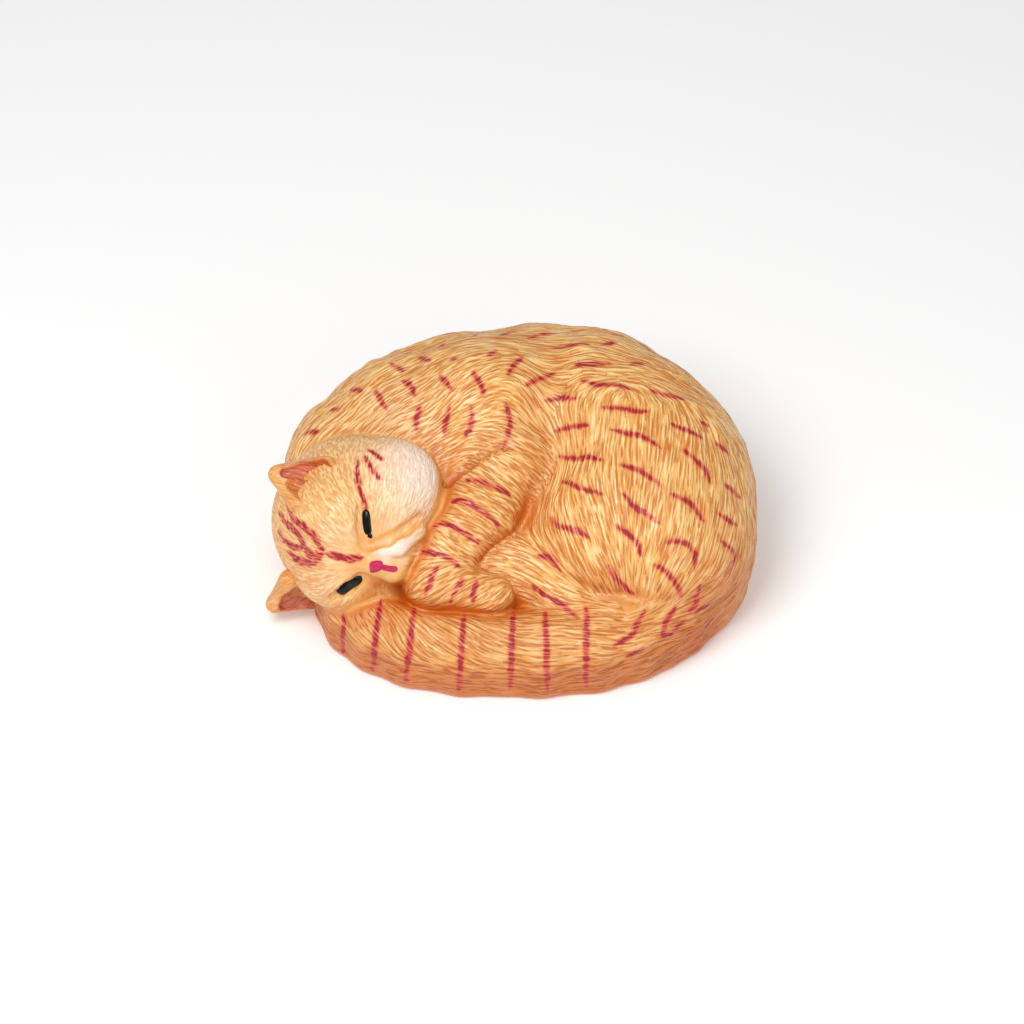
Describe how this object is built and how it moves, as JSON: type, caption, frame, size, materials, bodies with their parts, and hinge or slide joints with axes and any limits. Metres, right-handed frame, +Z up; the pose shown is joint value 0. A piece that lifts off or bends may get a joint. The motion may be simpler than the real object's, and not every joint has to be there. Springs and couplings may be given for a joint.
{
  "type": "ceramic cat figurine",
  "caption": "Curled sleeping tabby cat figurine, cast hollow, with its tail wrapped round the front and its paw folded on it, on a flat felted base.",
  "frame": {"origin": "centre of the outer box at the underside of the felt, where the figurine rests", "axes": "+X from the head to the rump, +Y from the tail at the front to the back, +Z up"},
  "size_m": [0.12, 0.0978, 0.0524],
  "materials": {
    "painted_ceramic": "satin, hand painted",
    "bare_ceramic": "unglazed bisque",
    "felt": "pressed felt"
  },
  "bodies": {
    "root": {"body_shell": "painted_ceramic", "head_shell": "painted_ceramic", "left_ear": "painted_ceramic", "right_ear": "painted_ceramic", "left_foreleg": "painted_ceramic", "hind_foot": "painted_ceramic", "tail": "painted_ceramic", "base_plate": "bare_ceramic", "felt_base": "felt"}
  },
  "joints": []
}
